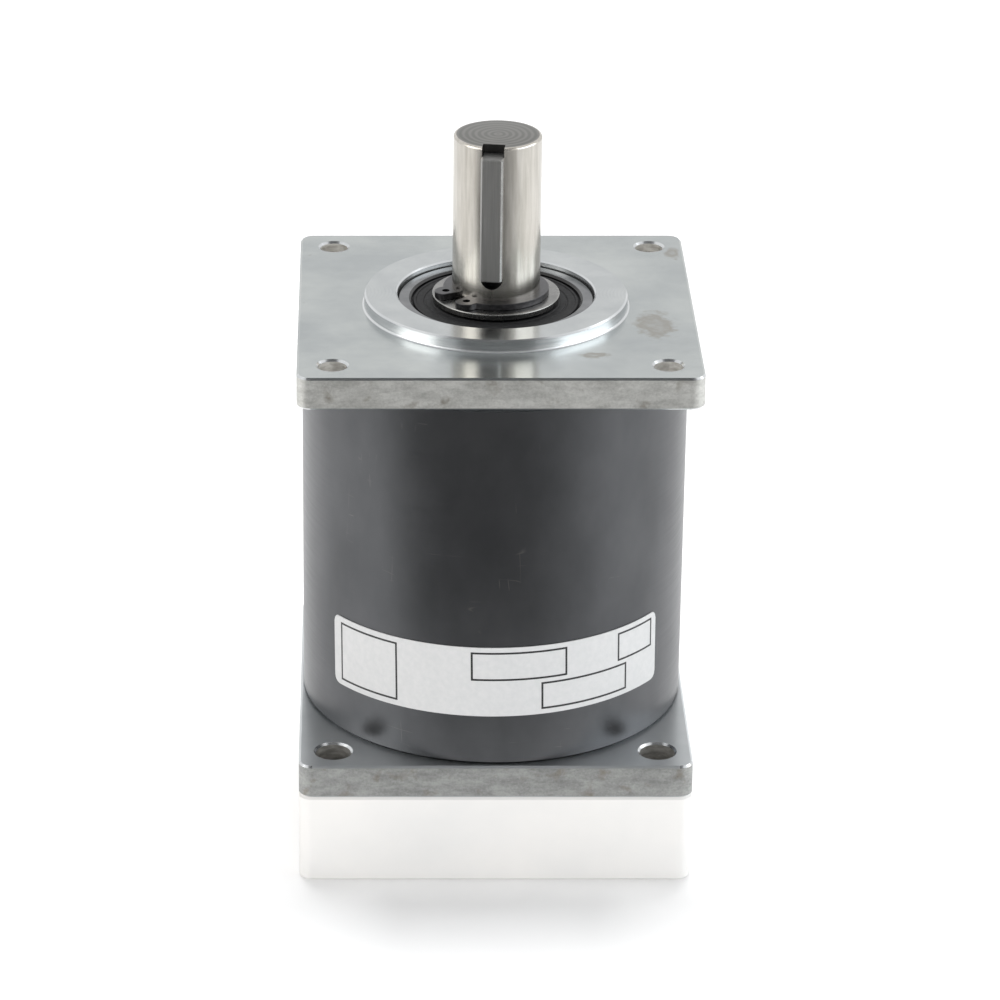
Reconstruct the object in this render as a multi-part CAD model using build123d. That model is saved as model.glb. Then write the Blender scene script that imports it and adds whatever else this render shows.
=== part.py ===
from build123d import *
from math import acos, cos, degrees, pi, radians, sin, tan
import os

# Planetary gear reducer, 100 to 1, in three stages inside one round housing.
# Millimetres. The origin is the centre of the face that meets the motor, and
# the output shaft points along +Z. The front, where the key faces, is -Y.

# Square plates and the motor adapter
plate_width = 57.15
corner_cut = 1.5
plate_edge_break = 0.3
adapter_height = 13.5
input_plate_thickness = 5.1
output_plate_thickness = 4.8
bolt_edge_distance = 5.005
output_hole_diameter = 4.1
motor_hole_diameter = 5.1

# Round housing with the ring gear cut inside
housing_diameter = 56.2
housing_length = 55.8
ring_wall = 5.375
input_spigot_length = 3.5

# Output face
pilot_diameter = 38.1
pilot_height = 1.9
pilot_edge_break = 0.25
bearing_recess = 0.9
bearing_lip_height = 1.5
bearing_lip_width = 1.4

# Output shaft, its key and its retaining ring
shaft_diameter = 12.7
shaft_reach = 26.0
shaft_edge_break = 0.4
shoulder_diameter = 16.0
key_width = 3.175
key_height = 3.175
key_length = 18.5
key_setback = 1.3
key_edge_break = 0.25
keyway_depth = 1.8
key_direction = -98.0
washer_diameter = 18.5
washer_thickness = 0.9
clip_thickness = 0.95
clip_seat_depth = 0.4
clip_body_width = 1.7
clip_lug_diameter = 3.2
clip_lug_spacing = 5.2
clip_lug_hole = 1.1
clip_direction = -145.5

# Double-row output bearing, closed by a seal on the outside
bearing_outer = 28.575
bearing_width = 15.876
bearing_ring_wall = 2.0
seal_thickness = 0.8
seal_depth = 0.35

# Gears: tooth counts, tooth form, and each stage's share of the gear length
pressure_angle = radians(25.0)
ring_teeth = 48
fast_sun_teeth = 12
slow_sun_teeth = 16
fast_planet_count = 3
slow_planet_count = 4
addendum = 1.0
dedendum = 1.25
fast_gear_share = 0.23
middle_gear_share = 0.33
fast_carrier_thickness = 2.8
middle_carrier_thickness = 3.2
slow_carrier_thickness = 5.4
fast_pin_diameter = 4.0
slow_pin_diameter = 5.0
carrier_wall = 2.6
sun_stem_diameter = 7.0

# Input pinion, which sits on the motor's shaft inside the adapter
motor_shaft_diameter = 6.35
motor_shaft_reach = 21.5
motor_pilot_diameter = 38.1
motor_pilot_depth = 2.0
pinion_end_gap = 1.0
pinion_bore_gap = 1.0
collar_step = 2.6
collar_height = 7.0
collar_gap = 3.0
set_screw_diameter = 4.0
set_screw_recess = 0.3

# Rating label
label_width = 55.0
label_height = 10.9
label_corner = 1.2
label_thickness = 0.12
label_centre_height = 32.0
label_tilt = 1.0

# Clearances: radial for fits, along the shaft for stages
fit_gap = 0.03
press_gap = 0.01
running_gap = 0.04
flank_gap = 0.03
stage_gap = 0.4
glue_gap = 0.02

# The square bolt pattern, the same in all three plates
bolt_spacing = plate_width - 2 * bolt_edge_distance

# Levels along the shaft, from the motor face up
plate_bottom = adapter_height
housing_bottom = plate_bottom + input_plate_thickness
housing_top = housing_bottom + housing_length
plate_face = housing_top + output_plate_thickness
pilot_face = plate_face + pilot_height
shaft_end = plate_face + shaft_reach
input_spigot_top = housing_bottom + input_spigot_length
bearing_top = pilot_face - bearing_recess
bearing_bottom = bearing_top - bearing_width
sleeve_bottom = bearing_bottom - bearing_lip_height
clip_seat_bottom = bearing_top + washer_thickness

# Levels of the three stages, which share the length between the two flanges
slow_carrier_top = sleeve_bottom - stage_gap
slow_carrier_bottom = slow_carrier_top - slow_carrier_thickness
fast_gear_bottom = input_spigot_top + 2 * stage_gap
carriers_and_gaps = middle_carrier_thickness + fast_carrier_thickness + 5 * stage_gap
gear_length = slow_carrier_bottom - fast_gear_bottom - carriers_and_gaps
fast_gear_top = fast_gear_bottom + fast_gear_share * gear_length
fast_carrier_bottom = fast_gear_top + stage_gap
fast_carrier_top = fast_carrier_bottom + fast_carrier_thickness
middle_gear_bottom = fast_carrier_top + stage_gap
middle_gear_top = middle_gear_bottom + middle_gear_share * gear_length
middle_carrier_bottom = middle_gear_top + stage_gap
middle_carrier_top = middle_carrier_bottom + middle_carrier_thickness
slow_gear_bottom = middle_carrier_top + stage_gap
slow_gear_top = slow_carrier_bottom - stage_gap

# Levels of the input pinion
pinion_teeth_bottom = fast_gear_bottom - stage_gap
collar_bottom = motor_pilot_depth + pinion_end_gap
collar_top = collar_bottom + collar_height

# Sizes that follow from the housing, the gears and the shaft
ring_root_radius = housing_diameter / 2 - ring_wall
gear_module = ring_root_radius / (ring_teeth / 2 + dedendum)
ring_radius = gear_module * ring_teeth / 2
ring_tip_radius = ring_radius - addendum * gear_module
pinion_radius = gear_module * fast_sun_teeth / 2
collar_radius = pinion_radius + collar_step
shaft_radius = shaft_diameter / 2
clip_seat_radius = shaft_radius - clip_seat_depth
keyway_floor = shaft_radius - keyway_depth
key_bottom = shaft_end - key_setback - key_length


def disc(radius, bottom, top):
    """A solid cylinder on the shaft's axis between two levels."""
    return Pos(0, 0, bottom) * extrude(Circle(radius), amount=top - bottom)


def ring(outer, inner, bottom, top):
    """A plain ring on the shaft's axis, given by its radii and levels."""
    return Pos(0, 0, bottom) * extrude(Circle(outer) - Circle(inner), amount=top - bottom)


def turned(profile):
    """A solid turned from a profile of radius and height points."""
    outline = Polyline(*[(radius, 0, height) for radius, height in profile], close=True)
    return revolve(make_face(outline), Axis.Z)


def at_angles(radius, angles):
    """Places on a circle about the shaft's axis."""
    return [Pos(radius * cos(radians(a)), radius * sin(radians(a)), 0) for a in angles]


def bolt_places():
    """The four corners of the square bolt pattern."""
    half = bolt_spacing / 2
    return [Pos(x, y, 0) for x in (-half, half) for y in (-half, half)]


def square_plate(bottom, top):
    """A square plate with its four corners cut off and its long edges broken."""
    half = plate_width / 2
    near = half - corner_cut
    corners = [(half, -near), (half, near), (near, half), (-near, half)]
    corners += [(-x, -y) for x, y in corners]
    plate = extrude(make_face(Polyline(*corners, close=True)), amount=top - bottom)
    ends = plate.faces().filter_by(Axis.Z)
    return Pos(0, 0, bottom) * chamfer(ends.edges(), plate_edge_break)


def square_plate_with_holes(bottom, top, hole_diameter):
    """A square plate with a hole in each corner."""
    plate = square_plate(bottom, top)
    for place in bolt_places():
        plate -= place * disc(hole_diameter / 2, bottom, top)
    return plate


def involute(angle):
    """The involute function, the polar angle that the curve has unrolled."""
    return tan(angle) - angle


def half_tooth(radius, teeth):
    """Half of the angle that an ideal tooth fills at a radius."""
    pitch_radius = gear_module * teeth / 2
    base_radius = pitch_radius * cos(pressure_angle)
    local = acos(base_radius / max(radius, base_radius))
    return pi / (2 * teeth) + involute(pressure_angle) - involute(local)


def gear_radii(teeth):
    """The root, pitch and tip radii of a gear with outward teeth."""
    pitch = gear_module * teeth / 2
    return pitch - dedendum * gear_module, pitch, pitch + addendum * gear_module


def tooth_outline(teeth, radii, widen, turn):
    """A closed gear outline. Each flank joins the involute's points at the given radii."""
    points = []
    for tooth in range(teeth):
        middle = turn + 2 * pi * tooth / teeth
        sides = [(r, middle - half_tooth(r, teeth) - widen / r) for r in radii]
        sides += [(r, middle + half_tooth(r, teeth) + widen / r) for r in reversed(radii)]
        points += [(r * cos(a), r * sin(a)) for r, a in sides]
    return make_face(Polyline(*points, close=True))


def between(face, bottom, top):
    """A flat outline made solid between two levels."""
    return Pos(0, 0, bottom) * extrude(face, amount=top - bottom)


def sun_turn(sun_teeth):
    """The turn that puts a sun in mesh with a planet on the X axis."""
    planet_teeth = (ring_teeth - sun_teeth) // 2
    return pi * (planet_teeth - 1) / sun_teeth


def planet_radius(sun_teeth):
    """The distance of the planets' axes from the shaft's axis."""
    return gear_module * (ring_teeth + sun_teeth) / 4


def planet_angles(count):
    """The planets' directions, evenly spaced from the X axis, in radians."""
    return [2 * pi * number / count for number in range(count)]


def planet_gears(sun_teeth, count, pin_diameter, bottom, top):
    """The planets of one stage, each turned into mesh with the ring and the sun."""
    teeth = (ring_teeth - sun_teeth) // 2
    root, _, tip = gear_radii(teeth)
    centre = planet_radius(sun_teeth)
    bore = disc(pin_diameter / 2 + running_gap, bottom, top)
    gears = []
    for angle in planet_angles(count):
        turn = angle * (1 - ring_teeth / teeth)
        gear = between(tooth_outline(teeth, (root, tip), -flank_gap, turn), bottom, top) - bore
        gears.append(Pos(centre * cos(angle), centre * sin(angle), 0) * gear)
    return gears


def carrier(sun_teeth, count, pin_diameter, bottom, top, pin_bottom):
    """A carrier with round corners, one for each of the planet pins that stand in it."""
    centre = planet_radius(sun_teeth)
    corner = pin_diameter / 2 + carrier_wall
    outline = RegularPolygon(centre + corner / cos(pi / count), count)
    body = between(fillet(outline.vertices(), corner), bottom, top)
    for angle in planet_angles(count):
        pin = disc(pin_diameter / 2, pin_bottom, top)
        body += Pos(centre * cos(angle), centre * sin(angle), 0) * pin
    return body


def carrier_with_bore(pin_bottom, bottom, top):
    """A carrier of the fast or the middle stage, bored for the next stage's sun."""
    body = carrier(fast_sun_teeth, fast_planet_count, fast_pin_diameter, bottom, top, pin_bottom)
    return body - disc(sun_stem_diameter / 2 + press_gap, bottom, top)


def sun_teeth_solid(teeth, bottom, top):
    """The toothed length of a sun, turned into mesh with its planets."""
    return between(tooth_outline(teeth, gear_radii(teeth), -flank_gap, sun_turn(teeth)), bottom, top)


def sun_gear(teeth, stem_bottom, seat, top):
    """A sun gear that stands on a carrier, with its stem pressed through it."""
    return sun_teeth_solid(teeth, seat, top) + disc(sun_stem_diameter / 2, stem_bottom, seat)


def output_flange():
    """The output plate, its pilot, and the sleeve that holds the bearing."""
    pilot = pilot_diameter / 2
    seat = bearing_outer / 2 + press_gap
    body = square_plate_with_holes(housing_top, plate_face, output_hole_diameter)
    body += disc(ring_tip_radius - fit_gap, sleeve_bottom, housing_top)
    body += turned([
        (0, plate_face), (pilot, plate_face), (pilot, pilot_face - pilot_edge_break),
        (pilot - pilot_edge_break, pilot_face), (0, pilot_face),
    ])
    body -= disc(seat, bearing_bottom, pilot_face)
    body -= disc(seat - bearing_lip_width, sleeve_bottom, bearing_bottom)
    return body


def ring_gear_housing():
    """The steel tube whose bore is the ring gear of all three stages."""
    radii = (ring_tip_radius, ring_radius, ring_root_radius)
    spaces = tooth_outline(ring_teeth, radii, flank_gap, 0)
    return between(Circle(housing_diameter / 2) - spaces, housing_bottom, housing_top)


def input_flange():
    """The input plate, with the spigot that centres the housing."""
    body = square_plate_with_holes(plate_bottom, housing_bottom, motor_hole_diameter)
    body += disc(ring_tip_radius - fit_gap, housing_bottom, input_spigot_top)
    _, _, pinion_tip = gear_radii(fast_sun_teeth)
    body -= disc(pinion_tip + pinion_bore_gap, plate_bottom, input_spigot_top)
    return body


def motor_adapter():
    """The pale block that centres the motor and leaves room for the pinion's collar."""
    body = square_plate_with_holes(0, adapter_height, motor_hole_diameter)
    body -= disc(motor_pilot_diameter / 2 + fit_gap, 0, motor_pilot_depth)
    body -= disc(collar_radius + collar_gap, motor_pilot_depth, adapter_height)
    return body


def keyway(extra):
    """The key's slot along the shaft, open at the shaft's end and round below."""
    facing = Vector(cos(radians(key_direction)), sin(radians(key_direction)), 0)
    across = Vector(-facing.Y, facing.X, 0)
    floor = Plane(origin=facing * keyway_floor + Vector(0, 0, key_bottom), x_dir=across, z_dir=facing)
    length = shaft_end - key_bottom + extra
    slot = Pos(0, length / 2) * Rectangle(key_width, length) + Circle(key_width / 2)
    return extrude(floor * slot, amount=shaft_diameter)


def output_shaft():
    """The output shaft and the last stage's carrier, made from one piece."""
    groove_top = clip_seat_bottom + clip_thickness
    body = turned([
        (0, slow_carrier_bottom), (shoulder_diameter / 2, slow_carrier_bottom),
        (shoulder_diameter / 2, bearing_bottom), (shaft_radius, bearing_bottom),
        (shaft_radius, clip_seat_bottom), (clip_seat_radius, clip_seat_bottom),
        (clip_seat_radius, groove_top), (shaft_radius, groove_top),
        (shaft_radius, shaft_end - shaft_edge_break), (shaft_radius - shaft_edge_break, shaft_end),
        (0, shaft_end),
    ])
    body += carrier(slow_sun_teeth, slow_planet_count, slow_pin_diameter,
                    slow_carrier_bottom, slow_carrier_top, slow_gear_bottom)
    return body - keyway(shaft_edge_break)


def output_key():
    """The square key in the shaft's slot, with its outer edges broken."""
    key = Pos(keyway_floor, 0, key_bottom) * extrude(
        Pos(key_height / 2, 0) * Rectangle(key_height, key_width), amount=key_length)
    outer = key.faces().sort_by(Axis.X)[-1]
    return Rot(0, 0, key_direction) * chamfer(outer.edges(), key_edge_break)


def shaft_circlip():
    """The retaining ring in the shaft's groove, with two eyes for pliers."""
    inner = clip_seat_radius + press_gap
    eye_radius = inner + clip_lug_diameter / 2 - press_gap
    swing = degrees(clip_lug_spacing / 2 / eye_radius)
    eyes = at_angles(eye_radius, (-swing, swing))
    outline = Circle(inner + clip_body_width)
    for eye in eyes:
        outline += eye * Circle(clip_lug_diameter / 2)
    outline -= Circle(inner)
    gap_width = clip_lug_spacing - clip_lug_diameter
    outline -= Pos(shaft_diameter / 2, 0) * Rectangle(shaft_diameter, gap_width)
    for eye in eyes:
        outline -= eye * Circle(clip_lug_hole / 2)
    clip = Pos(0, 0, clip_seat_bottom) * extrude(outline, amount=clip_thickness)
    return Rot(0, 0, clip_direction) * clip


def bearing_outer_ring():
    """The bearing's outer ring, pressed in the flange."""
    outer = bearing_outer / 2
    return ring(outer, outer - bearing_ring_wall, bearing_bottom, bearing_top)


def bearing_inner_ring():
    """The bearing's inner ring, pressed on the shaft."""
    inner = shaft_radius + press_gap
    return ring(inner + bearing_ring_wall, inner, bearing_bottom, bearing_top)


def bearing_seal():
    """The rubber seal that closes the bearing, seen round the shaft."""
    outer = bearing_outer / 2 - bearing_ring_wall - press_gap
    inner = shaft_radius + press_gap + bearing_ring_wall + running_gap
    top = bearing_top - seal_depth
    return ring(outer, inner, top - seal_thickness, top)


def shaft_washer():
    """The support washer between the bearing and the retaining ring."""
    return ring(washer_diameter / 2, shaft_radius + press_gap, bearing_top, clip_seat_bottom)


def set_screw_place():
    """The set screw's axis, which runs outwards along +X through the collar."""
    return Pos(0, 0, (collar_bottom + collar_top) / 2) * Rot(0, 90, 0)


def input_pinion():
    """The pinion on the motor's shaft, which is the first stage's sun, with its collar."""
    body = turned([
        (0, collar_bottom), (collar_radius, collar_bottom), (collar_radius, collar_top),
        (pinion_radius, collar_top), (pinion_radius, pinion_teeth_bottom), (0, pinion_teeth_bottom),
    ])
    body += sun_teeth_solid(fast_sun_teeth, pinion_teeth_bottom, fast_gear_top)
    body -= disc(motor_shaft_diameter / 2, collar_bottom, motor_shaft_reach)
    return body - set_screw_place() * disc(set_screw_diameter / 2 + press_gap, 0, collar_radius)


def set_screw():
    """The screw that locks the pinion on the motor's shaft."""
    inner = motor_shaft_diameter / 2
    return set_screw_place() * disc(set_screw_diameter / 2, inner, collar_radius - set_screw_recess)


def rating_label():
    """The thin label on the front of the housing, left without words."""
    inner = housing_diameter / 2 + glue_gap
    half_width = inner * sin(label_width / inner / 2)
    shell = ring(inner + label_thickness, inner, 0, housing_top)
    front = Plane(origin=(0, 0, label_centre_height), x_dir=(1, 0, 0), z_dir=(0, -1, 0))
    outline = Rot(0, 0, label_tilt) * RectangleRounded(2 * half_width, label_height, label_corner)
    return shell & extrude(front * outline, amount=housing_diameter)


def save(name, shape):
    """Write one node."""
    export_step(shape, f"parts/{name}.step")


def save_planets(name, gears):
    """Write one node for each planet of a stage."""
    for number, gear in enumerate(gears, start=1):
        save(f"{name}_{number}", gear)


os.makedirs("parts", exist_ok=True)

# What stands still
save("output_flange", output_flange())
save("ring_gear_housing", ring_gear_housing())
save("input_flange", input_flange())
save("motor_adapter", motor_adapter())
save("bearing_outer_ring", bearing_outer_ring())
save("bearing_seal", bearing_seal())
save("rating_label", rating_label())

# What turns with the output shaft
save("output_shaft", output_shaft())
save("output_key", output_key())
save("bearing_inner_ring", bearing_inner_ring())
save("shaft_washer", shaft_washer())
save("shaft_circlip", shaft_circlip())

# The slow stage, next to the output
save_planets("slow_planet", planet_gears(
    slow_sun_teeth, slow_planet_count, slow_pin_diameter, slow_gear_bottom, slow_gear_top))
save("slow_sun_gear", sun_gear(
    slow_sun_teeth, middle_carrier_bottom, middle_carrier_top, slow_gear_top))

# The middle stage
save("middle_carrier", carrier_with_bore(middle_gear_bottom, middle_carrier_bottom, middle_carrier_top))
save_planets("middle_planet", planet_gears(
    fast_sun_teeth, fast_planet_count, fast_pin_diameter, middle_gear_bottom, middle_gear_top))
save("middle_sun_gear", sun_gear(
    fast_sun_teeth, fast_carrier_bottom, fast_carrier_top, middle_gear_top))

# The fast stage, next to the motor
save("fast_carrier", carrier_with_bore(fast_gear_bottom, fast_carrier_bottom, fast_carrier_top))
save_planets("fast_planet", planet_gears(
    fast_sun_teeth, fast_planet_count, fast_pin_diameter, fast_gear_bottom, fast_gear_top))
save("input_pinion", input_pinion())
save("set_screw", set_screw())
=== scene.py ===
import bmesh
import bpy
import numpy as np
from math import radians
from mathutils import Matrix, Vector
from mathutils.geometry import tessellate_polygon


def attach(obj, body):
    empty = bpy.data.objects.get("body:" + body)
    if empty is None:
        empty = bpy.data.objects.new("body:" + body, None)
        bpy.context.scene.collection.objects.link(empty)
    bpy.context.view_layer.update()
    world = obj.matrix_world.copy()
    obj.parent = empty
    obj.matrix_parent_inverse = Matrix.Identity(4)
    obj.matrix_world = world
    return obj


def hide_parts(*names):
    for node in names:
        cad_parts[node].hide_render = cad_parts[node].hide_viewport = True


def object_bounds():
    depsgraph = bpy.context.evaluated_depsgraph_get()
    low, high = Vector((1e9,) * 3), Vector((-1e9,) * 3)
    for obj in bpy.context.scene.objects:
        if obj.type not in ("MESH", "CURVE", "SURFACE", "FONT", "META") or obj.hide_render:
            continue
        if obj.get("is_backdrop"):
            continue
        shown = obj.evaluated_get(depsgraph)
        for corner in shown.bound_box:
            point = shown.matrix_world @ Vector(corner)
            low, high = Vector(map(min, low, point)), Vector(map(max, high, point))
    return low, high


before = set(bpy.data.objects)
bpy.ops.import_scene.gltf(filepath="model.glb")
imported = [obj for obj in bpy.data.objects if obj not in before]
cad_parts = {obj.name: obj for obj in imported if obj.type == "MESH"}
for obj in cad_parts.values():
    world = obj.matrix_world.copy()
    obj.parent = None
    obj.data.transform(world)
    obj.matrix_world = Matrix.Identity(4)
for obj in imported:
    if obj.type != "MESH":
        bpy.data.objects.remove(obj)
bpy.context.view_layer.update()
mm = 0.001

# The output plate, its pilot and the sleeve below it.
# One piece of aluminium: faces fly-cut, edges left sawn and deburred, pilot turned.
# It drops into the ring gear tube, and its corner holes take the load's screws.


def linear(code):
    """A hex colour as linear red, green, blue and alpha: a part c becomes ((c + 0.055) / 1.055) ** 2.4."""
    parts = np.array([int(code[i:i + 2], 16) for i in (1, 3, 5)]) / 255
    parts = np.where(parts <= 0.04045, parts / 12.92, ((parts + 0.055) / 1.055) ** 2.4)
    return (*parts.tolist(), 1.0)


def add(tree, kind, links=None, **settings):
    """Adds a node. A link's value is a socket to join or a plain value; the settings are the node's own."""
    made = tree.nodes.new(kind)
    for name, value in settings.items():
        setattr(made, name, value)
    for name, value in (links or {}).items():
        if isinstance(value, bpy.types.NodeSocket):
            tree.links.new(value, made.inputs[name])
        else:
            made.inputs[name].default_value = value
    return made


def new_material(name):
    """A material with an empty node tree, and a socket with the object's own coordinates in metres."""
    material = bpy.data.materials.new(name)
    material.use_nodes = True
    material.node_tree.nodes.clear()
    tree = material.node_tree
    place = add(tree, "ShaderNodeTexCoord").outputs["Object"]
    return material, tree, place


def grain(tree, place, size_mm, stretch=(1, 1, 1), detail=3.0, rough=0.55):
    """Noise whose blotches are size_mm across, drawn out along an axis by dividing its coordinate."""
    wide = tuple(1 / (size_mm * mm * s) for s in stretch)
    spot = add(tree, "ShaderNodeMapping", {"Vector": place, "Scale": wide})
    return add(tree, "ShaderNodeTexNoise", {"Vector": spot.outputs[0], "Scale": 1.0, "Detail": detail,
                                            "Roughness": rough}).outputs["Fac"]


def ramp(tree, factor, stops):
    """A colour or grey that follows a factor through the given stops."""
    made = add(tree, "ShaderNodeValToRGB", {"Fac": factor})
    bar = made.color_ramp
    for number, (at, value) in enumerate(stops):
        stop = bar.elements[number] if number < 2 else bar.elements.new(at)
        stop.position = at
        stop.color = linear(value) if isinstance(value, str) else (value, value, value, 1)
    return made.outputs["Color"]


def between(tree, factor, least, most):
    """A roughness that goes from least to most as a factor goes from 0 to 1."""
    return add(tree, "ShaderNodeMapRange", {"Value": factor, "To Min": least, "To Max": most}).outputs[0]


def relief(tree, height, strength, deep_mm):
    """A surface normal tilted by the slopes of a height that is deep_mm from its lowest to its highest."""
    return add(tree, "ShaderNodeBump", {
        "Height": height, "Strength": strength, "Distance": deep_mm * mm}).outputs["Normal"]


def blend(tree, share, first, second):
    """A colour that goes from the first to the second as a share goes from 0 to 1."""
    return add(tree, "ShaderNodeMix", {"Factor": share, "A": first, "B": second},
               data_type="RGBA").outputs["Result"]


def close(tree, shader):
    """Joins a shader to the material's output."""
    add(tree, "ShaderNodeOutputMaterial", {"Surface": shader.outputs[0]})


def circle(radius, count=192, at=(0, 0)):
    """Points on a circle: x = radius cos a, y = radius sin a, moved to a centre."""
    a = np.arange(count) * 2 * np.pi / count
    return np.stack([at[0] + radius * np.cos(a), at[1] + radius * np.sin(a)], 1)


def at_height(outline, z):
    """A flat outline lifted to one height."""
    return np.column_stack([outline, np.full(len(outline), z)])


def skin(rows, around=True):
    """Quads between rows of points: row i point j to row i + 1 point j + 1, with the last column joined to
    the first where the rows run around."""
    grid = np.stack(rows)
    tall, wide = grid.shape[:2]
    columns = wide if around else wide - 1
    i, j = np.meshgrid(np.arange(tall - 1), np.arange(columns), indexing="ij")
    k = (j + 1) % wide
    quads = np.stack([i * wide + j, i * wide + k, (i + 1) * wide + k, (i + 1) * wide + j], -1)
    return grid.reshape(-1, 3), quads.reshape(-1, 4)


def turned(profile, count=192):
    """A profile of radius and height swept round the axis: x = r cos a, y = r sin a, z = height."""
    return skin([at_height(circle(r, count), z) for r, z in profile])


def lid(loops, z):
    """A flat face at one height, bounded by its first loop and open inside the others."""
    flat = [at_height(loop, z) for loop in loops]
    triangles = tessellate_polygon([[Vector(point) for point in loop] for loop in flat])
    return np.concatenate(flat), np.array(triangles)


def solid(name, patches, materials, body, replaced):
    """Joins patches into one closed piece. A patch is its points and faces, and its material's number."""
    points, faces, slots, start = [], [], [], 0
    for (coordinates, corners), number in patches:
        points.append(coordinates * mm)
        faces += (corners + start).tolist()
        slots += [number] * len(corners)
        start += len(coordinates)
    mesh = bpy.data.meshes.new(name)
    mesh.from_pydata(np.concatenate(points).tolist(), [], faces)
    mesh.polygons.foreach_set("material_index", slots)
    for material in materials:
        mesh.materials.append(material)
    piece = bpy.data.objects.new(name, mesh)
    bpy.context.scene.collection.objects.link(piece)
    weld(mesh)
    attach(piece, body)
    if replaced:
        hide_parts(*replaced)
    return piece


def weld(mesh):
    """Merges points closer than a ten-thousandth of a millimetre, turns all faces outwards, and shades them
    smooth up to corners of 28 degrees."""
    work = bmesh.new()
    work.from_mesh(mesh)
    bmesh.ops.remove_doubles(work, verts=work.verts, dist=1e-7)
    bmesh.ops.dissolve_degenerate(work, edges=work.edges, dist=1e-8)
    bmesh.ops.recalc_face_normals(work, faces=work.faces)
    work.to_mesh(mesh)
    work.free()
    mesh.polygons.foreach_set("use_smooth", [True] * len(mesh.polygons))
    mesh.set_sharp_from_angle(angle=radians(28))


def blot(tree, place, centre_mm, half_mm):
    """How much of a dry stain lies here. Far is the distance from its centre, with each axis divided by the
    stain's half width; a noise added to far makes the rim ragged, and the middle is a little paler."""
    centre = tuple(c * mm for c in centre_mm)
    away = add(tree, "ShaderNodeVectorMath", {0: place, 1: centre}, operation="SUBTRACT").outputs[0]
    share = tuple(1 / (h * mm) for h in half_mm)
    scaled = add(tree, "ShaderNodeVectorMath", {0: away, 1: share}, operation="MULTIPLY").outputs[0]
    far = add(tree, "ShaderNodeVectorMath", {0: scaled}, operation="LENGTH").outputs["Value"]
    ragged = add(tree, "ShaderNodeMath", {0: grain(tree, place, 2.2, detail=6, rough=0.65), 1: far},
                 operation="ADD").outputs[0]
    return ramp(tree, ragged, ((0.55, 0.30), (0.78, 0.60), (1.0, 0.0)))


def milled_aluminium(name, blots, dark="#a8adae", pale="#bcc0bf", least=0.15, most=0.25):
    """Fly-cut aluminium: pale grey, with straight tool marks that draw its reflections out, and dry oil."""
    material, tree, place = new_material(name)
    marks = grain(tree, place, 0.25, stretch=(80, 1, 1), detail=2)
    cloud = grain(tree, place, 11, detail=4)
    spots = ramp(tree, grain(tree, place, 2.4, detail=5, rough=0.6), ((0.70, 0.0), (0.80, 0.5)))
    for centre, half in blots:
        spots = add(tree, "ShaderNodeMath", {0: spots, 1: blot(tree, place, centre, half)},
                    operation="MAXIMUM").outputs[0]
    base = ramp(tree, cloud, ((0.30, dark), (0.70, pale)))
    across = add(tree, "ShaderNodeCombineXYZ", {"Y": 1.0}).outputs[0]
    close(tree, add(tree, "ShaderNodeBsdfPrincipled", {
        "Base Color": blend(tree, spots, base, linear("#837b6c")), "Metallic": 1.0,
        "Roughness": between(tree, marks, least, most), "Anisotropic": 0.8, "Tangent": across,
        "Normal": relief(tree, marks, 0.10, 0.02)}))
    return material


def sawn_aluminium(name, dark, pale):
    """A sawn and tumbled aluminium edge: dull grey, smeared along the edge, with brown oil stains."""
    material, tree, place = new_material(name)
    smear = grain(tree, place, 1.3, stretch=(2.6, 2.6, 1), detail=5, rough=0.68)
    pits = grain(tree, place, 0.35, detail=4, rough=0.7)
    stain = ramp(tree, grain(tree, place, 3.2, detail=4), ((0.58, 0.0), (0.72, 0.7)))
    mottle = add(tree, "ShaderNodeMix", {"Factor": 0.35, 2: smear, 3: pits}, data_type="FLOAT").outputs[0]
    base = ramp(tree, mottle, ((0.36, dark), (0.62, pale)))
    close(tree, add(tree, "ShaderNodeBsdfPrincipled", {
        "Base Color": blend(tree, stain, base, linear("#7d7467")), "Metallic": 0.8, "Roughness": 0.5,
        "Normal": relief(tree, mottle, 0.3, 0.05)}))
    return material


def drilled_aluminium(name, dark, pale):
    """Drilled aluminium: coarse marks round the hole, on a torn wall that mirrors only roughly."""
    material, tree, place = new_material(name)
    score = grain(tree, place, 0.6, stretch=(3, 3, 1), detail=4)
    base = ramp(tree, score, ((0.35, dark), (0.68, pale)))
    close(tree, add(tree, "ShaderNodeBsdfPrincipled", {
        "Base Color": base, "Metallic": 0.62, "Roughness": 0.32}))
    return material


def highlight_aluminium():
    """Aluminium at the pilot's wall and the broken edges, painted brighter than the rest as a highlight:
    smooth, with marks that run round the axis."""
    material, tree, place = new_material("aluminium_with_painted_highlight")
    score = grain(tree, place, 0.45, stretch=(16, 16, 1), detail=2)
    base = ramp(tree, score, ((0.35, "#c8cbcd"), (0.70, "#d7d9da")))
    close(tree, add(tree, "ShaderNodeBsdfPrincipled", {
        "Base Color": base, "Metallic": 1.0, "Roughness": between(tree, score, 0.19, 0.27)}))
    return material


def lathe_rings(tree, place, apart_mm, waver):
    """Rings round the axis, apart_mm from crest to crest. The wave is sin (20 scale r), so scale is
    pi / (10 apart)."""
    return add(tree, "ShaderNodeTexWave", {
        "Vector": place, "Scale": np.pi / (10 * apart_mm * mm), "Distortion": waver, "Detail": 2.0},
        wave_type="RINGS", rings_direction="Z").outputs["Fac"]


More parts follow.
